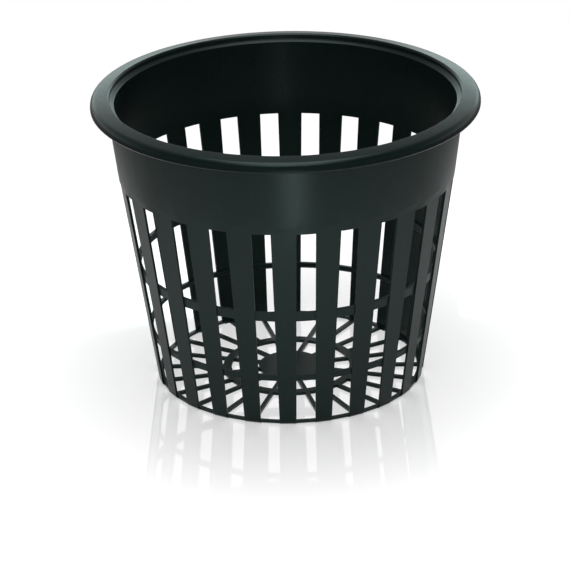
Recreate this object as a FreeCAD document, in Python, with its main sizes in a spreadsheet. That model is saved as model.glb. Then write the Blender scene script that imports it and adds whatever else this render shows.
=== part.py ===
"""Net pot for hydroponic growing: a one-piece moulded basket with an openwork wall and base.

The pot is a thin tapered cup. Flat-faced slats stand all round it, joined by two hoops that lie
behind their faces and stand out inside. A plain band, thicker towards the top, and a lip that
rises a little inwards close the wall. The base is a wheel: a centre disc, a ring and a rim, with
a spoke in line with each slat outside the ring and with each second slat inside it.

Frame: millimetres, +Z up, the origin at the middle of the base, on the plane that it stands on.
One slat is centred on +X, and the slots lie half a pitch away from the slats.
"""

import FreeCAD, Part
import os

import Sketcher

DOCUMENT = "NetPot"
NODE = "net_pot"
TOLERANCE = 1e-4
LIP_ROUND_STEPS = 5

# Every size that can be set by itself: its name, its value in millimetres and what it is.
SIZES = (
    ("pot_height", 73.85, "from the foot of the slats to the inner top edge of the lip"),
    ("lip_overhang", 4.1, "how far the lip stands out from the top of the band"),
    ("lip_thickness", 3.05, "from the lip's underside to its inner top edge"),
    ("lip_slope", 8.5, "rise of the lip's top face inwards, in degrees"),
    ("lip_round", 1.6, "rounding of the lip's outer top corner"),
    ("lip_under_chamfer", 0.4, "broken edge at the lip's outer lower corner"),
    ("lip_mouth_chamfer", 0.4, "broken edge at the lip's inner top corner"),
    ("ledge_depth", 1.35, "height of the upright wall inside the lip"),
    ("ledge_drop", 0.5, "height of the sloping ledge below it"),
    ("ledge_width", 1.2, "how far the ledge stands out from the inner wall"),
    ("band_height", 16.0, "plain band between the slats' step and the lip"),
    ("band_flare", 1.98, "how much the band widens from the slats' step to the lip"),
    ("wall_flare", 7.98, "how much the wall widens from its foot to the slats' step"),
    ("foot_radius", 33.44, "outside of the wall at the foot of the slats"),
    ("wall_thickness", 0.7, "wall from its foot to the slats' step, measured level"),
    ("mouth_wall", 1.7, "wall at the foot of the ledge, behind the lip"),
    ("base_thickness", 0.8, "thickness of the disc, spokes, ring and rim of the base"),
    ("slot_count", 24, "slots round the wall, and as many slats and outer spokes"),
    ("slot_width", 4.65, "width of a slot, the same from top to bottom"),
    ("slot_bridge", 1.75, "wall between the top of a slot and the step at the band"),
    ("slat_inset", 0.2, "how far a slat's flat face lies inside the round wall"),
    ("foot_chamfer", 0.5, "chamfer at the foot of a slat"),
    ("hoop_recess", 0.4, "how far the hoops lie behind the slats' faces"),
    ("hoop_depth", 0.6, "depth of a hoop, from its outer face inwards"),
    ("hoop_rise", 0.5, "how much a hoop's underside rises inwards"),
    ("low_hoop_height", 12.35, "foot of the lower hoop's outer face"),
    ("low_hoop_width", 1.6, "height of the lower hoop's outer face"),
    ("mid_hoop_height", 29.1, "foot of the middle hoop's outer face"),
    ("mid_hoop_width", 2.35, "height of the middle hoop's outer face"),
    ("rim_lift", 0.2, "clearance under the base rim between two slats"),
    ("base_rim_width", 1.6, "base rim, from the foot of the wall inwards"),
    ("base_ring_radius", 14.85, "inner edge of the ring of the base"),
    ("base_ring_width", 2.1, "width of the ring of the base"),
    ("disc_radius", 8.0, "centre disc of the base"),
    ("inner_spoke_count", 12, "spokes between the disc and the ring of the base"),
    ("spoke_width", 1.05, "width of a spoke"),
)

# Heights and radii that follow from those sizes, as formulas of the document.
LIP_LOW = "(Dims.pot_height - Dims.lip_thickness)"
SHOULDER = f"({LIP_LOW} - Dims.band_height)"
SLOT_TOP = f"({SHOULDER} - Dims.slot_bridge)"
LEDGE_HIGH = "(Dims.pot_height - Dims.ledge_depth)"
LEDGE_LOW = f"({LEDGE_HIGH} - Dims.ledge_drop)"
LOW_HOOP_TOP = "(Dims.low_hoop_height + Dims.low_hoop_width)"
MID_HOOP_TOP = "(Dims.mid_hoop_height + Dims.mid_hoop_width)"
SHOULDER_RADIUS = "(Dims.foot_radius + Dims.wall_flare)"
BAND_TOP_RADIUS = f"({SHOULDER_RADIUS} + Dims.band_flare)"
RIM_RADIUS = f"({BAND_TOP_RADIUS} + Dims.lip_overhang)"
WALL_SLOPE = f"(Dims.wall_flare / {SHOULDER})"
SHOULDER_INSIDE = f"({SHOULDER_RADIUS} - Dims.wall_thickness)"
FOOT_INSIDE = f"(Dims.foot_radius + {WALL_SLOPE} * Dims.base_thickness - Dims.wall_thickness)"
MOUTH_RADIUS = f"({BAND_TOP_RADIUS} - Dims.mouth_wall)"
LIP_INSIDE = f"({MOUTH_RADIUS} + Dims.ledge_width)"
LIP_RISE = "(Dims.lip_slope * 1 deg)"
LIP_ROUND_MIDDLE = f"({RIM_RADIUS} - Dims.lip_round)"
LIP_ROUND_END = f"({LIP_ROUND_MIDDLE} + Dims.lip_round * sin({LIP_RISE}))"
LIP_ROUND_TOP = f"(Dims.pot_height - ({LIP_ROUND_END} - {LIP_INSIDE}) * tan({LIP_RISE}))"
LIP_ROUND_LEVEL = f"({LIP_ROUND_TOP} - Dims.lip_round * cos({LIP_RISE}))"
BASE_RIM_INSIDE = "(Dims.foot_radius - Dims.base_rim_width)"
BASE_RING_OUTSIDE = "(Dims.base_ring_radius + Dims.base_ring_width)"
HALF_PITCH = "(180 deg / Dims.slot_count)"
HALF_SPOKE_PITCH = "(180 deg / Dims.inner_spoke_count)"
HOOP_FACE = "(Dims.slat_inset + Dims.hoop_recess)"
INSIDE_WALL = f"({BASE_RIM_INSIDE} - Dims.base_rim_width)"
SLAT_FACE_WIDTH = f"(2 * {BASE_RIM_INSIDE} * tan({HALF_PITCH}))"
BASE = "0"
AXIS = "0"


def make_sheet(doc):
    """Write the sizes into a spreadsheet, each under its own alias."""
    sheet = doc.addObject("Spreadsheet::Sheet", "Dims")
    for row, (alias, value, note) in enumerate(SIZES, start=1):
        sheet.set(f"A{row}", alias)
        sheet.set(f"B{row}", str(value))
        sheet.set(f"C{row}", note)
        sheet.setAlias(f"B{row}", alias)
    doc.recompute()
    return sheet


def number(sheet, formula):
    """Return the present value of a formula, as a plain number."""
    value = sheet.evalExpression(formula)
    return float(getattr(value, "Value", value))


def origin_part(body, role):
    """Return the plane or axis of the body's origin that has this role."""
    return next(item for item in body.Origin.OriginFeatures if item.Role == role)


def make_sketch(body, name, plane, turn=None):
    """Add a sketch on an origin plane, turned about the pot's axis where a turn is given.

    The turn is an axis of the sketch's own, the one that runs along +Z, and a formula.
    """
    sketch = body.newObject("Sketcher::SketchObject", name)
    sketch.AttachmentSupport = [(origin_part(body, plane), "")]
    sketch.MapMode = "FlatFace"
    if turn:
        axis, angle = turn
        sketch.AttachmentOffset = FreeCAD.Placement(FreeCAD.Vector(), FreeCAD.Rotation(axis, 1))
        sketch.setExpression("AttachmentOffset.Rotation.Angle", angle)
    return sketch


def bind(sketch, constraint, formula):
    """Add a dimension to the sketch and tie it to a formula."""
    index = sketch.addConstraint(constraint)
    sketch.setExpression(f"Constraints[{index}]", formula)


def add_polygon(sketch, sheet, corners):
    """Draw a closed outline through corners given as (across, up) formulas."""
    points = []
    for across, up in corners:
        points.append(FreeCAD.Vector(number(sheet, across), number(sheet, up), 0))
    first = sketch.GeometryCount
    count = len(points)
    for index, start in enumerate(points):
        end = points[(index + 1) % count]
        sketch.addGeometry(Part.LineSegment(start, end))
    for index, (across, up) in enumerate(corners):
        line = first + index
        before = first + (index - 1) % count
        sketch.addConstraint(Sketcher.Constraint("Coincident", before, 2, line, 1))
        if across == AXIS:
            sketch.addConstraint(Sketcher.Constraint("PointOnObject", line, 1, -2))
        else:
            size = Sketcher.Constraint("DistanceX", -1, 1, line, 1, points[index].x)
            bind(sketch, size, across)
        if up == BASE:
            sketch.addConstraint(Sketcher.Constraint("PointOnObject", line, 1, -1))
        else:
            size = Sketcher.Constraint("DistanceY", -1, 1, line, 1, points[index].y)
            bind(sketch, size, up)


def add_window(sketch, sheet, width, low, high):
    """Draw a rectangle of this width, centred on the sketch's upright axis."""
    half = number(sheet, width) / 2
    bottom = number(sheet, low)
    top = number(sheet, high)
    corners = [(-half, bottom), (half, bottom), (half, top), (-half, top)]
    first = sketch.GeometryCount
    for index, (x, y) in enumerate(corners):
        next_x, next_y = corners[(index + 1) % 4]
        start = FreeCAD.Vector(x, y, 0)
        end = FreeCAD.Vector(next_x, next_y, 0)
        sketch.addGeometry(Part.LineSegment(start, end))
    for index in range(4):
        after = (index + 1) % 4
        joint = Sketcher.Constraint("Coincident", first + index, 2, first + after, 1)
        sketch.addConstraint(joint)
    for side, kind in enumerate(("Vertical", "Horizontal", "Vertical"), start=1):
        sketch.addConstraint(Sketcher.Constraint(kind, first + side))
    sketch.addConstraint(Sketcher.Constraint("Symmetric", first, 1, first, 2, -2))
    bind(sketch, Sketcher.Constraint("DistanceX", first, 1, first, 2, 2 * half), width)
    bind(sketch, Sketcher.Constraint("DistanceY", -1, 1, first, 1, bottom), low)
    bind(sketch, Sketcher.Constraint("DistanceY", -1, 1, first + 2, 1, top), high)


def add_sector(sketch, sheet, inner, outer, half_pitch):
    """Draw the gap between two spokes, from one radius to another, about the sketch's X axis."""
    first = sketch.GeometryCount
    for radius in (inner, outer):
        size = number(sheet, radius)
        half_angle = spoke_gap(radius, half_pitch)
        reach = FreeCAD.Units.Quantity(number(sheet, half_angle), "deg")
        spread = reach.getValueAs("rad").Value
        circle = Part.Circle(FreeCAD.Vector(), FreeCAD.Vector(0, 0, 1), size)
        sketch.addGeometry(Part.ArcOfCircle(circle, -spread, spread))
    inner_arc = sketch.Geometry[first]
    outer_arc = sketch.Geometry[first + 1]
    sketch.addGeometry(Part.LineSegment(inner_arc.StartPoint, outer_arc.StartPoint))
    sketch.addGeometry(Part.LineSegment(outer_arc.EndPoint, inner_arc.EndPoint))
    side_low = first + 2
    side_high = first + 3
    joints = ((first, 1, side_low, 1), (first + 1, 1, side_low, 2))
    joints += ((first + 1, 2, side_high, 1), (first, 2, side_high, 2))
    for joint in joints:
        sketch.addConstraint(Sketcher.Constraint("Coincident", *joint))
    for arc, radius in ((first, inner), (first + 1, outer)):
        size = number(sheet, radius)
        width = f"2 * {radius} * sin({spoke_gap(radius, half_pitch)})"
        sketch.addConstraint(Sketcher.Constraint("Coincident", arc, 3, -1, 1))
        bind(sketch, Sketcher.Constraint("Radius", arc, size), radius)
        sketch.addConstraint(Sketcher.Constraint("Vertical", arc, 1, arc, 2))
        distance = Sketcher.Constraint("DistanceY", arc, 1, arc, 2, number(sheet, width))
        bind(sketch, distance, width)


def spoke_gap(radius, half_pitch):
    """Return the formula of half the angle that is open between two spokes at a radius."""
    return f"({half_pitch} - asin(Dims.spoke_width / 2 / {radius}))"


def ring_edges(shape, radius, height):
    """Name the round edges of this radius and height."""
    names = []
    for index, edge in enumerate(shape.Edges, start=1):
        curve = edge.Curve
        if not isinstance(curve, Part.Circle):
            continue
        if abs(curve.Radius - radius) > TOLERANCE or abs(curve.Center.z - height) > TOLERANCE:
            continue
        names.append(f"Edge{index}")
    return names


def break_edge(body, sheet, name, radius, height):
    """Chamfer one circular edge of the turned form, by the size of the same name."""
    body.Document.recompute()
    base = body.Tip
    edges = ring_edges(base.Shape, number(sheet, radius), number(sheet, height))
    chamfer = body.newObject("PartDesign::Chamfer", name)
    chamfer.Base = (base, edges)
    chamfer.setExpression("Size", f"Dims.{name}")


def lip_round_corners():
    """Return the corners that round the lip's outer top edge, from its side to its sloping top."""
    corners = []
    for step in range(LIP_ROUND_STEPS + 1):
        angle = f"((90 deg - {LIP_RISE}) * {step} / {LIP_ROUND_STEPS})"
        across = f"({LIP_ROUND_MIDDLE} + Dims.lip_round * cos({angle}))"
        up = f"({LIP_ROUND_LEVEL} + Dims.lip_round * sin({angle}))"
        corners.append((across, up))
    return corners


def wall_radius(height):
    """Return the formula of the round wall's outer radius at a height below the slats' step."""
    return f"(Dims.foot_radius + {WALL_SLOPE} * {height})"


def hoop_corners(low, high):
    """Return the corners of a hoop's section inside the wall, from its top to its underside."""
    inside = f"({wall_radius(low)} - {HOOP_FACE} - Dims.hoop_depth)"
    above = f"({wall_radius(high)} - Dims.wall_thickness)"
    below = f"({wall_radius(low)} - Dims.wall_thickness)"
    return [(above, high), (inside, high), (inside, f"({low} + Dims.hoop_rise)"), (below, low)]


def turned_cup(body, sheet):
    """Turn the whole section: wall, band, lip, ledge, hoops and base plate."""
    section = make_sketch(body, "cup_section", "XZ_Plane")
    corners = (
        (AXIS, BASE),
        ("Dims.foot_radius", BASE),
        (SHOULDER_RADIUS, SHOULDER),
        (BAND_TOP_RADIUS, LIP_LOW),
        (RIM_RADIUS, LIP_LOW),
        *lip_round_corners(),
        (LIP_INSIDE, "Dims.pot_height"),
        (LIP_INSIDE, LEDGE_HIGH),
        (MOUTH_RADIUS, LEDGE_LOW),
        (SHOULDER_INSIDE, SHOULDER),
        *hoop_corners("Dims.mid_hoop_height", MID_HOOP_TOP),
        *hoop_corners("Dims.low_hoop_height", LOW_HOOP_TOP),
        (FOOT_INSIDE, "Dims.base_thickness"),
        (AXIS, "Dims.base_thickness"),
    )
    add_polygon(section, sheet, corners)
    cup = body.newObject("PartDesign::Revolution", "cup")
    cup.Profile = section
    cup.ReferenceAxis = (section, ["V_Axis"])
    cup.Angle = 360
    break_edge(body, sheet, "lip_under_chamfer", RIM_RADIUS, LIP_LOW)
    break_edge(body, sheet, "lip_mouth_chamfer", LIP_INSIDE, "Dims.pot_height")
    body.Document.recompute()


def upright_cut(body, name, sketch):
    """Cut a side-view outline through the wall, as far to one side of its plane as the other."""
    cut = body.newObject("PartDesign::Pocket", name)
    cut.Profile = sketch
    cut.SideType = "Symmetric"
    cut.Type = "Length"
    return cut


def slat_face(body, sheet):
    """Cut the flat face and the foot chamfer of the slat on +X."""
    sketch = make_sketch(body, "slat_face_outline", "XZ_Plane")
    foot = "(Dims.foot_radius - Dims.slat_inset)"
    knee = f"({foot} + {WALL_SLOPE} * Dims.foot_chamfer)"
    top = f"({SHOULDER_RADIUS} - Dims.slat_inset)"
    corners = (
        (f"({foot} - Dims.foot_chamfer)", BASE),
        (knee, "Dims.foot_chamfer"),
        (top, SHOULDER),
        (RIM_RADIUS, SHOULDER),
        (RIM_RADIUS, BASE),
    )
    add_polygon(sketch, sheet, corners)
    cut = upright_cut(body, "slat_face", sketch)
    cut.setExpression("Length", SLAT_FACE_WIDTH)
    return cut


def slot_windows(body, sheet):
    """Cut the three windows of one slot, which leave the two hoops standing between them."""
    turn = (FreeCAD.Vector(0, 1, 0), HALF_PITCH)
    sketch = make_sketch(body, "slot_windows_outline", "YZ_Plane", turn)
    sketch.setExpression("AttachmentOffset.Base.x", f"{INSIDE_WALL} * sin({HALF_PITCH})")
    sketch.setExpression("AttachmentOffset.Base.z", f"{INSIDE_WALL} * cos({HALF_PITCH})")
    levels = (
        ("Dims.base_thickness", "Dims.low_hoop_height"),
        (LOW_HOOP_TOP, "Dims.mid_hoop_height"),
        (MID_HOOP_TOP, SLOT_TOP),
    )
    for low, high in levels:
        add_window(sketch, sheet, "Dims.slot_width", low, high)
    cut = body.newObject("PartDesign::Pocket", "slot_windows")
    cut.Profile = sketch
    cut.Type = "Length"
    cut.Reversed = True
    cut.setExpression("Length", RIM_RADIUS)
    return cut


def hoop_faces(body, sheet):
    """Set the hoops and the base rim back between two slats, and lift the rim off its plane."""
    turn = (FreeCAD.Vector(0, 1, 0), HALF_PITCH)
    sketch = make_sketch(body, "hoop_faces_outline", "XZ_Plane", turn)
    foot = f"({wall_radius('Dims.rim_lift')} - {HOOP_FACE})"
    top = f"({wall_radius(SLOT_TOP)} - {HOOP_FACE})"
    corners = (
        (INSIDE_WALL, BASE),
        (INSIDE_WALL, "Dims.rim_lift"),
        (foot, "Dims.rim_lift"),
        (top, SLOT_TOP),
        (RIM_RADIUS, SLOT_TOP),
        (RIM_RADIUS, BASE),
    )
    add_polygon(sketch, sheet, corners)
    cut = upright_cut(body, "hoop_faces", sketch)
    cut.setExpression("Length", "Dims.slot_width")
    return cut


def outer_base_gap(body, sheet):
    """Cut the gap between two spokes outside the base ring."""
    turn = (FreeCAD.Vector(0, 0, 1), HALF_PITCH)
    sketch = make_sketch(body, "outer_base_gap_outline", "XY_Plane", turn)
    add_sector(sketch, sheet, BASE_RING_OUTSIDE, BASE_RIM_INSIDE, HALF_PITCH)
    return base_cut(body, "outer_base_gap", sketch)


def inner_base_gap(body, sheet):
    """Cut the gap between two spokes inside the base ring."""
    sketch = make_sketch(body, "inner_base_gap_outline", "XY_Plane")
    add_sector(sketch, sheet, "Dims.disc_radius", "Dims.base_ring_radius", HALF_SPOKE_PITCH)
    return base_cut(body, "inner_base_gap", sketch)


def base_cut(body, name, sketch):
    """Cut a plan-view outline up through the base plate."""
    cut = body.newObject("PartDesign::Pocket", name)
    cut.Profile = sketch
    cut.Type = "Length"
    cut.Reversed = True
    cut.setExpression("Length", "Dims.base_thickness")
    return cut


def repeat_all_round(body, name, cuts, count):
    """Repeat cuts about the pot's axis, as often as the size of this name says."""
    pattern = body.newObject("PartDesign::PolarPattern", name)
    pattern.Originals = cuts
    pattern.Axis = (origin_part(body, "Z_Axis"), [""])
    pattern.Angle = 360
    pattern.setExpression("Occurrences", f"Dims.{count}")
    body.Tip = pattern
    return pattern


def check_document(doc):
    """Stop if any object of the document failed to build."""
    for item in doc.Objects:
        if "Invalid" in item.State or "Error" in item.State:
            raise RuntimeError(f"{item.Label} failed: {item.State}")


def check_cut(doc, cut, before):
    """Stop if a cut took nothing away, and return the volume that is left."""
    doc.recompute()
    after = cut.Shape.Volume
    if after > before - TOLERANCE:
        raise RuntimeError(f"{cut.Label} cuts nothing")
    return after


def build():
    """Build the document and return the finished body."""
    doc = FreeCAD.newDocument(DOCUMENT)
    sheet = make_sheet(doc)
    body = doc.addObject("PartDesign::Body", NODE)
    body.Label = NODE
    body.Placement = FreeCAD.Placement()
    turned_cup(body, sheet)
    volume = body.Tip.Shape.Volume
    groups = (
        ("slots_all_round", "slot_count", (slat_face, slot_windows, hoop_faces, outer_base_gap)),
        ("inner_gaps_all_round", "inner_spoke_count", (inner_base_gap,)),
    )
    for name, count, makers in groups:
        cuts = []
        for make_cut in makers:
            cut = make_cut(body, sheet)
            volume = check_cut(doc, cut, volume)
            cuts.append(cut)
        pattern = repeat_all_round(body, name, cuts, count)
        volume = check_cut(doc, pattern, volume)
    check_document(doc)
    return body


def export(body):
    """Write the body's shape to its own STEP file."""
    shape = body.Shape
    if shape.isNull() or not shape.isValid() or len(shape.Solids) != 1:
        raise RuntimeError(f"{body.Label} is not one valid solid")
    os.makedirs("parts", exist_ok=True)
    shape.exportStep(f"parts/{body.Label}.step")
    box = shape.optimalBoundingBox()
    print(f"{body.Label}: {box.XLength:.2f} x {box.YLength:.2f} x {box.ZLength:.2f} mm")


export(build())
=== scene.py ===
"""Net pot: the moulded pot's finished surfaces, the floor it stands on, its light and its view."""

import logging
import math
from dataclasses import dataclass, field
from enum import Enum
from typing import Any, Mapping, Optional, Union

import bmesh
import bpy
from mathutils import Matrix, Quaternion, Vector


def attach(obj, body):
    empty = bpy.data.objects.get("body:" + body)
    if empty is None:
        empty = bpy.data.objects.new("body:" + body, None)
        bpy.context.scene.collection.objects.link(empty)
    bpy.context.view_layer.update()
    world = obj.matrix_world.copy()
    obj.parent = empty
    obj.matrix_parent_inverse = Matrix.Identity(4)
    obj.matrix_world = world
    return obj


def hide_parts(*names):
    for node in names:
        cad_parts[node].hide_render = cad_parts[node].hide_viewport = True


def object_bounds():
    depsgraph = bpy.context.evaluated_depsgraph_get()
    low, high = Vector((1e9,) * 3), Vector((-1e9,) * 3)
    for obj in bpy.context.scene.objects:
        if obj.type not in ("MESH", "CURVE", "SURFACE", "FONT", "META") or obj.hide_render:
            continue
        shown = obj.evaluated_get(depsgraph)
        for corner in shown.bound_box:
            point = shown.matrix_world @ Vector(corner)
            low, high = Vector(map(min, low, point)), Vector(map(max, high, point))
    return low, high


LOG = logging.getLogger("net_pot_scene")
MM = 0.001

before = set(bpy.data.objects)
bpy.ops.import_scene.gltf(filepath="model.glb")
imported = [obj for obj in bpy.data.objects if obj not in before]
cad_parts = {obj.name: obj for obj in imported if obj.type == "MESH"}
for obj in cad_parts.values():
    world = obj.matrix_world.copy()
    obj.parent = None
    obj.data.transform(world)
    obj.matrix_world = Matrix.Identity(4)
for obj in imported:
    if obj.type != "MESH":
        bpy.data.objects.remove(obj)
CAD_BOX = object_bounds()

Number = Union[int, float]
Colour = tuple[float, float, float]

WHITE: Colour = (1.0, 1.0, 1.0)
NOISE_MEAN = 0.5

# The Mix node has sockets for each kind of data. These are its factor and the ones for colours.
MIX_FACTOR = 0
MIX_FIRST = 6
MIX_SECOND = 7
MIX_RESULT = 2


class Ray(Enum):
    """What a ray of light is used for, as the Light Path node names it."""

    SEEN = "Is Camera Ray"
    MIRRORED = "Is Glossy Ray"
    THROUGH = "Is Transmission Ray"


class Channel:
    """A node's output with arithmetic: each operator adds the Math node that does it."""

    def __init__(self, graph: "FinishGraph", socket: bpy.types.NodeSocket) -> None:
        """Wrap one output.

        Args:
            graph: the graph that the output belongs to.
            socket: the output itself.
        """
        self.graph = graph
        self.socket = socket

    def _math(self, operation: str, *values: Any) -> "Channel":
        """Add a Math node.

        Args:
            operation: the node's operation.
            values: its inputs, in order.

        Returns:
            The node's result.
        """
        settings = {"operation": operation}
        return self.graph.node("ShaderNodeMath", settings, dict(enumerate(values)))

    def __add__(self, other: Any) -> "Channel":
        """Return this plus other."""
        return self._math("ADD", self, other)

    def __radd__(self, other: Any) -> "Channel":
        """Return other plus this."""
        return self._math("ADD", other, self)

    def __sub__(self, other: Any) -> "Channel":
        """Return this less other."""
        return self._math("SUBTRACT", self, other)

    def __rsub__(self, other: Any) -> "Channel":
        """Return other less this."""
        return self._math("SUBTRACT", other, self)

    def __mul__(self, other: Any) -> "Channel":
        """Return this times other."""
        return self._math("MULTIPLY", self, other)

    def __rmul__(self, other: Any) -> "Channel":
        """Return other times this."""
        return self._math("MULTIPLY", other, self)

    def maximum(self, other: Any) -> "Channel":
        """Return the greater of this and other."""
        return self._math("MAXIMUM", self, other)

    def step(self, low: Number, high: Number) -> "Channel":
        """Return a smooth rise from 0 to 1.

        Args:
            low: the value at and below which the result is 0.
            high: the value at and above which the result is 1.

        Returns:
            The rise, as a channel.
        """
        settings = {"interpolation_type": "SMOOTHSTEP"}
        inputs = {"Value": self, "From Min": low, "From Max": high}
        return self.graph.node("ShaderNodeMapRange", settings, inputs)


class FinishGraph:
    """A material's or the world's node tree, emptied and ready to be filled."""

    def __init__(self, tree: bpy.types.NodeTree) -> None:
        """Take a node tree and empty it.

        Args:
            tree: the tree.
        """
        self.tree = tree
        self.tree.nodes.clear()

    def node(
        self,
        kind: str,
        settings: Optional[Mapping[str, Any]] = None,
        inputs: Optional[Mapping[Union[str, int], Any]] = None,
        output: Union[str, int] = 0,
    ) -> Channel:
        """Add a node.

        Args:
            kind: the node's type.
            settings: its own settings, set before its sockets.
            inputs: a value or a channel for each socket, by name or number.
            output: which output is returned.

        Returns:
            The chosen output.
        """
        made = self.tree.nodes.new(kind)
        for name, value in (settings or {}).items():
            setattr(made, name, value)
        for name, value in (inputs or {}).items():
            socket = made.inputs[name]
            if isinstance(value, Channel):
                self.tree.links.new(value.socket, socket)
            else:
                socket.default_value = value
        return Channel(self, made.outputs[output] if made.outputs else None)

    def blend(self, factor: Channel, first: Colour, second: Colour) -> Channel:
        """Mix two colours.

        Args:
            factor: how much of the second is used.
            first: a colour.
            second: a colour.

        Returns:
            The mixed colour.
        """
        inputs = {MIX_FACTOR: factor, MIX_FIRST: opaque(first), MIX_SECOND: opaque(second)}
        return self.node("ShaderNodeMix", {"data_type": "RGBA"}, inputs, output=MIX_RESULT)

    def join(self, factor: Channel, first: Channel, second: Optional[Channel] = None) -> Channel:
        """Mix two shaders.

        Args:
            factor: how much of the second is used.
            first: a shader.
            second: a shader, or None for black.

        Returns:
            The mixed shader.
        """
        inputs = {0: factor, 1: first}
        if second is not None:
            inputs[2] = second
        return self.node("ShaderNodeMixShader", inputs=inputs)

    def glow(self, strength: Any) -> Channel:
        """Return a white shader that gives out light of its own."""
        inputs = {"Color": opaque(WHITE), "Strength": strength}
        return self.node("ShaderNodeEmission", inputs=inputs)

    def place(self) -> Channel:
        """Return the object's own coordinates."""
        return self.node("ShaderNodeTexCoord", output="Object")

    def axis(self, where: Channel, name: str) -> Channel:
        """Return one of a vector's numbers, by its axis: X, Y or Z."""
        return self.node("ShaderNodeSeparateXYZ", inputs={"Vector": where}, output=name)

    def ray(self, kind: Ray) -> Channel:
        """Return 1 where the ray is of a kind, and 0 elsewhere."""
        return self.node("ShaderNodeLightPath", output=kind.value)


def opaque(colour: Colour) -> tuple[float, float, float, float]:
    """Return a colour with full alpha."""
    return (*colour, 1.0)


@dataclass(frozen=True)
class Pattern:
    """An uneven pattern through the plastic, by its cells in a metre.

    A stretch under 1 draws it out along the pot's axis.
    """

    size: float
    detail: float
    roughness: float = 0.5
    stretch: float = 1.0

    def build(self, graph: FinishGraph) -> Channel:
        """Add the pattern.

        Args:
            graph: the material's graph.

        Returns:
            The pattern's value, about NOISE_MEAN.
        """
        inputs = {"Vector": graph.place(), "Scale": (1.0, 1.0, self.stretch)}
        where = graph.node("ShaderNodeMapping", inputs=inputs)
        look = {"Scale": self.size, "Detail": self.detail, "Roughness": self.roughness}
        return graph.node("ShaderNodeTexNoise", inputs={"Vector": where, **look})


@dataclass(frozen=True)
class MouldedPlastic:
    """Dark moulded plastic: near black with a cool tint, satin, finely grained.

    A spread is how far a pattern moves the roughness from end to end of its range, and a height is
    how far it lifts the surface.
    """

    name: str = "moulded_black_plastic"
    colour: Colour = (0.0024, 0.0085, 0.0072)
    bloom_colour: Colour = (0.0036, 0.0108, 0.0094)
    bloom_start: float = 0.35
    bloom_full: float = 0.70
    roughness: float = 0.30
    specular: float = 0.27
    sheen_tint: Colour = (0.72, 1.0, 0.96)
    mottle: Pattern = Pattern(size=55.0, detail=4.0, roughness=0.6)
    mottle_spread: float = 0.08
    grain: Pattern = Pattern(size=2600.0, detail=2.0, roughness=0.55)
    grain_spread: float = 0.08
    grain_height: float = 0.010 * MM
    draw_marks: Pattern = Pattern(size=750.0, detail=3.0, stretch=0.05)
    draw_mark_spread: float = 0.07
    ripple: Pattern = Pattern(size=120.0, detail=2.0, stretch=0.25)
    ripple_height: float = 0.030 * MM

    def build(self) -> bpy.types.Material:
        """Make the material.

        Returns:
            The material, in Object coordinates.
        """
        material = bpy.data.materials.new(self.name)
        material.use_nodes = True
        graph = FinishGraph(material.node_tree)
        mottle = self.mottle.build(graph)
        grain = self.grain.build(graph)
        ripple = self.ripple.build(graph)
        draw_marks = self.draw_marks.build(graph)
        bloom = mottle.step(self.bloom_start, self.bloom_full)
        roughness = (
            self.roughness
            + (mottle - NOISE_MEAN) * self.mottle_spread
            + (draw_marks - NOISE_MEAN) * self.draw_mark_spread
            + (grain - NOISE_MEAN) * self.grain_spread
        )
        relief = ripple * self.ripple_height + grain * self.grain_height
        normal = graph.node(
            "ShaderNodeBump", inputs={"Height": relief, "Distance": 1.0, "Strength": 1.0}
        )
        shader = graph.node(
            "ShaderNodeBsdfPrincipled",
            inputs={
                "Base Color": graph.blend(bloom, self.colour, self.bloom_colour),
                "Roughness": roughness,
                "Specular IOR Level": self.specular,
                "Specular Tint": opaque(self.sheen_tint),
                "Normal": normal,
            },
        )
        graph.node("ShaderNodeOutputMaterial", inputs={"Surface": shader})
        return material


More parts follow.
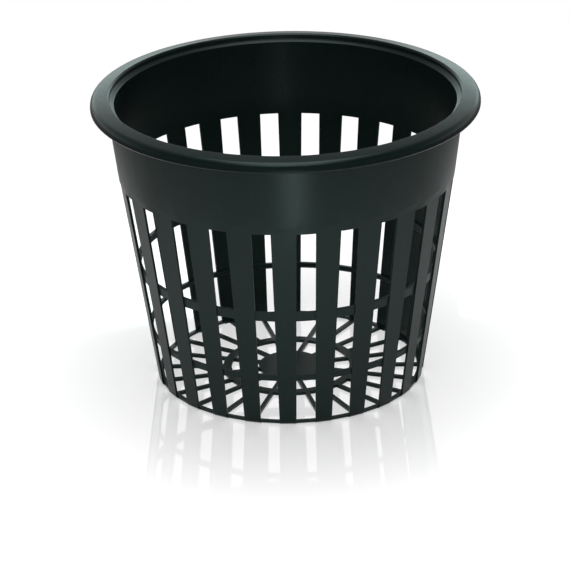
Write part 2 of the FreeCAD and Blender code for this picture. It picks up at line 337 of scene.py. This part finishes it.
@dataclass(frozen=True)
class BenchTop:
    """The pale top that the pot stands on: a faint mirror near the pot, plain white further off.

    It has light of its own, which lifts it towards white where it is seen. What the pot mirrors of
    it is lifted less, darkens from front to back, and is dusky further off.
    """

    name: str = "pale_bench_top"
    colour: Colour = (0.80, 0.80, 0.80)
    lift: float = 0.715
    white_start: float = 60.0 * MM
    white_full: float = 200.0 * MM
    mirrored_lift: float = 0.60
    shade: float = 0.75
    shade_start: float = -95.0 * MM
    shade_full: float = 10.0 * MM
    dusk: float = 0.20
    dusk_start: float = 110.0 * MM
    dusk_full: float = 190.0 * MM
    mirror: float = 3.2
    mirror_index: float = 1.5
    mirror_roughness: float = 0.035
    mirror_full: float = 30.0 * MM
    mirror_end: float = 112.0 * MM

    def build(self) -> bpy.types.Material:
        """Make the material.

        Returns:
            The material.
        """
        material = bpy.data.materials.new(self.name)
        material.use_nodes = True
        graph = FinishGraph(material.node_tree)
        place = graph.place()
        reach = graph.node("ShaderNodeVectorMath", {"operation": "LENGTH"}, {0: place}, "Value")
        seen = graph.ray(Ray.SEEN).maximum(graph.ray(Ray.THROUGH))
        mirrored = graph.ray(Ray.MIRRORED)
        top = self.lifted(graph, graph.axis(place, "Y"), seen, mirrored)
        dusk = reach.step(self.dusk_start, self.dusk_full) * mirrored
        bench = graph.join(dusk, top, graph.glow(self.dusk))
        white = reach.step(self.white_start, self.white_full) * seen
        base = graph.join(white, bench, graph.glow(1.0))
        gloss = graph.node(
            "ShaderNodeBsdfGlossy",
            inputs={"Color": opaque(WHITE), "Roughness": self.mirror_roughness},
        )
        slant = graph.node("ShaderNodeFresnel", inputs={"IOR": self.mirror_index})
        fade = (1.0 - reach.step(self.mirror_full, self.mirror_end)) * (slant * self.mirror)
        surface = graph.join(fade * seen, base, gloss)
        graph.node("ShaderNodeOutputMaterial", inputs={"Surface": surface})
        return material

    def lifted(
        self, graph: FinishGraph, depth: Channel, seen: Channel, mirrored: Channel
    ) -> Channel:
        """Add the matt top with the light that lifts it.

        Args:
            graph: the material's graph.
            depth: how far behind the pot's middle the point is.
            seen: 1 where the top is seen straight or through something.
            mirrored: 1 where the top is seen in the pot.

        Returns:
            The shader.
        """
        matt = graph.node("ShaderNodeBsdfDiffuse", inputs={"Color": opaque(self.colour)})
        glow = graph.glow(seen * self.lift + mirrored * self.mirrored_lift)
        shade = depth.step(self.shade_start, self.shade_full) * (mirrored * self.shade)
        shaded = graph.join(shade, glow)
        return graph.node("ShaderNodeAddShader", inputs={0: matt, 1: shaded})


@dataclass
class MouldedPot:
    """The pot itself: the moulding's solid, its edges eased and its curved walls smooth."""

    node: str = "net_pot"
    slot: str = "pot_plastic"
    name: str = "moulded_pot"
    weld: float = 0.002 * MM
    sharp_angle: float = math.radians(24.0)
    edge_radius: float = 0.08 * MM
    edge_segments: int = 2
    finish: MouldedPlastic = field(default_factory=MouldedPlastic)

    def build(self) -> bpy.types.Object:
        """Make the piece and let it stand for the moulding's solid.

        Returns:
            The piece.
        """
        mesh = self.merged_mesh()
        pot = bpy.data.objects.new(self.name, mesh)
        bpy.context.scene.collection.objects.link(pot)
        self.ease_edges(pot)
        mesh.materials.clear()
        mesh.materials.append(self.finish.build())
        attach(pot, "root")
        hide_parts(self.node)
        return pot

    def merged_mesh(self) -> bpy.types.Mesh:
        """Copy the solid's mesh, join its facets and leave only its real edges sharp.

        Returns:
            The mesh.
        """
        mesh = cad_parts[self.node].data.copy()
        mesh.name = self.name
        shape = bmesh.new()
        shape.from_mesh(mesh)
        bmesh.ops.remove_doubles(shape, verts=shape.verts, dist=self.weld)
        for face in shape.faces:
            face.smooth = True
        for edge in shape.edges:
            edge.smooth = edge.calc_face_angle(math.pi) < self.sharp_angle
        shape.to_mesh(mesh)
        shape.free()
        return mesh

    def ease_edges(self, pot: bpy.types.Object) -> None:
        """Round the sharp edges a little, as moulded ones are.

        Args:
            pot: the piece.
        """
        bevel = pot.modifiers.new("eased_edges", "BEVEL")
        bevel.limit_method = "ANGLE"
        bevel.angle_limit = self.sharp_angle
        bevel.width = self.edge_radius
        bevel.segments = self.edge_segments
        bevel.use_clamp_overlap = False
        bevel.harden_normals = True


@dataclass
class Floor:
    """The plain pale surface under the pot, just clear of its foot."""

    name: str = "floor"
    half_width: float = 3.0
    clearance: float = 0.02 * MM
    finish: BenchTop = field(default_factory=BenchTop)

    def build(self) -> bpy.types.Object:
        """Make the floor.

        Returns:
            The floor, which is no part of the object.
        """
        mesh = bpy.data.meshes.new(self.name)
        shape = bmesh.new()
        bmesh.ops.create_grid(shape, x_segments=1, y_segments=1, size=self.half_width)
        bmesh.ops.translate(shape, verts=shape.verts, vec=(0.0, 0.0, -self.clearance))
        shape.to_mesh(mesh)
        shape.free()
        floor = bpy.data.objects.new(self.name, mesh)
        bpy.context.scene.collection.objects.link(floor)
        mesh.materials.append(self.finish.build())
        return floor


def hang_panel(
    name: str, width: float, height: float, glow: float, colour: Colour = WHITE
) -> bpy.types.Object:
    """Make a flat lamp that the camera doesn't see.

    Args:
        name: the lamp's name.
        width: its size across.
        height: its size the other way.
        glow: its own brightness, white being 1.
        colour: the colour of its light.

    Returns:
        The lamp, at the origin and lighting downwards.
    """
    light = bpy.data.lights.new(name, "AREA")
    light.shape = "RECTANGLE"
    light.size = width
    light.size_y = height
    light.energy = glow * math.pi * width * height
    light.color = colour
    lamp = bpy.data.objects.new(name, light)
    bpy.context.scene.collection.objects.link(lamp)
    lamp.visible_camera = False
    return lamp


def direction(azimuth: float, elevation: float) -> Vector:
    """Return the unit vector towards a place round the pot.

    Args:
        azimuth: degrees from the front, -Y, towards +X.
        elevation: degrees above the floor.

    Returns:
        The vector.
    """
    turn = math.radians(azimuth)
    rise = math.radians(elevation)
    flat = math.cos(rise)
    return Vector((flat * math.sin(turn), -flat * math.cos(turn), math.sin(rise)))


@dataclass(frozen=True)
class Softbox:
    """One lamp that looks at the pot's middle from a place round it."""

    name: str
    azimuth: float
    glow: float
    elevation: float
    width: float
    height: float
    distance: float = 0.9
    colour: Colour = WHITE

    def build(self, target: Vector) -> bpy.types.Object:
        """Hang the lamp.

        Args:
            target: the point that it looks at.

        Returns:
            The lamp.
        """
        lamp = hang_panel(self.name, self.width, self.height, self.glow, self.colour)
        away = direction(self.azimuth, self.elevation)
        lamp.location = target + away * self.distance
        lamp.rotation_euler = away.to_track_quat("Z", "Y").to_euler()
        return lamp


@dataclass(frozen=True)
class SideSoftbox(Softbox):
    """A low, cool softbox behind the pot and to one side, for the edges of its lip and wall."""

    elevation: float = 14.0
    width: float = 0.4
    height: float = 0.24
    colour: Colour = (0.72, 1.0, 0.97)


@dataclass(frozen=True)
class Reflector:
    """A narrow bright strip that lies before the pot and shows as a soft sheen on its band."""

    name: str = "front_strip"
    side: float = 12.0 * MM
    width: float = 28.0 * MM
    length: float = 160.0 * MM
    start: float = 112.0 * MM
    above_floor: float = 1.0 * MM
    glow: float = 3.0

    def build(self) -> bpy.types.Object:
        """Lay the strip, its light upwards.

        Returns:
            The lamp.
        """
        lamp = hang_panel(self.name, self.width, self.length, self.glow)
        lamp.location = (self.side, -self.start - self.length / 2, self.above_floor)
        lamp.rotation_euler = (math.pi, 0.0, 0.0)
        return lamp


@dataclass
class Studio:
    """The soft light round the pot: a white backdrop, dimmer sides and ceiling, and softboxes.

    The starts and ends are parts of the unit vector towards a place: upwards for the ceiling, and
    backwards for the front and the back.
    """

    fill: float = 0.50
    ceiling: float = 0.27
    wall_end: float = 0.0
    ceiling_start: float = 0.70
    front: float = 0.37
    front_end: float = -0.30
    back_start: float = 0.50
    lamps: tuple[Softbox, ...] = (
        Softbox("top_softbox", azimuth=0.0, glow=3.4, elevation=84.0, width=0.5, height=1.2),
        SideSoftbox("left_softbox", azimuth=-162.0, glow=1.3),
        SideSoftbox("right_softbox", azimuth=162.0, glow=1.6),
    )
    strip: Reflector = field(default_factory=Reflector)

    def build(self, target: Vector) -> list[bpy.types.Object]:
        """Light the world and hang the lamps.

        Args:
            target: the point that the lamps look at.

        Returns:
            The lamps.
        """
        self.light_world()
        return [*(lamp.build(target) for lamp in self.lamps), self.strip.build()]

    def light_world(self) -> None:
        """Make the world plain white where it is seen, and graded where it lights the pot."""
        world = bpy.data.worlds.new("studio")
        world.use_nodes = True
        bpy.context.scene.world = world
        graph = FinishGraph(world.node_tree)
        towards = graph.node("ShaderNodeTexCoord", output="Generated")
        up = graph.axis(towards, "Z").step(self.wall_end, self.ceiling_start)
        back = graph.axis(towards, "Y").step(self.front_end, self.back_start)
        walls = 1.0 - up * (1.0 - self.ceiling)
        backdrop = self.front + back * (1.0 - self.front)
        lit = graph.ray(Ray.MIRRORED).maximum(self.fill) * walls * backdrop
        strength = lit.maximum(graph.ray(Ray.SEEN)).maximum(graph.ray(Ray.THROUGH))
        sky = graph.node(
            "ShaderNodeBackground", inputs={"Color": opaque(WHITE), "Strength": strength}
        )
        graph.node("ShaderNodeOutputWorld", inputs={"Surface": sky})


@dataclass(frozen=True)
class Viewpoint:
    """Where the pot is looked at from.

    The camera stands at a distance from a point on the pot's axis. It aims a little lower than
    that point and leans a little to one side.
    """

    azimuth: float = 1.5
    elevation: float = 22.57
    distance: float = 788.8 * MM
    axis_height: float = 36.91 * MM
    aim_right: float = -0.73 * MM
    aim_up: float = -13.23 * MM
    roll: float = -1.164
    lens: float = 201.2
    sensor: float = 36.0
    nearest: float = 0.05
    furthest: float = 20.0

    def build(self) -> bpy.types.Object:
        """Make the camera and look through it.

        Returns:
            The camera.
        """
        data = bpy.data.cameras.new("view")
        data.lens = self.lens
        data.sensor_width = self.sensor
        data.clip_start = self.nearest
        data.clip_end = self.furthest
        camera = bpy.data.objects.new("view", data)
        bpy.context.scene.collection.objects.link(camera)
        away = direction(self.azimuth, self.elevation)
        lean = Quaternion((0.0, 0.0, 1.0), math.radians(self.roll))
        middle = Vector((0.0, 0.0, self.axis_height))
        camera.location = middle + away * self.distance
        turned = away.to_track_quat("Z", "Y") @ lean
        aim = middle + turned @ Vector((self.aim_right, self.aim_up, 0.0))
        look = (camera.location - aim).to_track_quat("Z", "Y")
        camera.rotation_euler = (look @ lean).to_euler()
        bpy.context.scene.camera = camera
        return camera


def main() -> None:
    """Build the pot, the floor, the light and the view, in that order."""
    logging.basicConfig(level=logging.INFO, format="%(name)s: %(message)s")
    pot = MouldedPot().build()
    LOG.info("pot: %d faces before its edges are eased", len(pot.data.polygons))
    floor = Floor().build()
    LOG.info("floor: %s", floor.name)
    low, high = CAD_BOX
    lamps = Studio().build((Vector(low) + Vector(high)) / 2)
    LOG.info("lamps: %s", ", ".join(lamp.name for lamp in lamps))
    camera = Viewpoint().build()
    LOG.info("camera: %.1f mm lens", camera.data.lens)
    bpy.context.scene.view_settings.view_transform = "Standard"


if __name__ == "__main__":
    main()
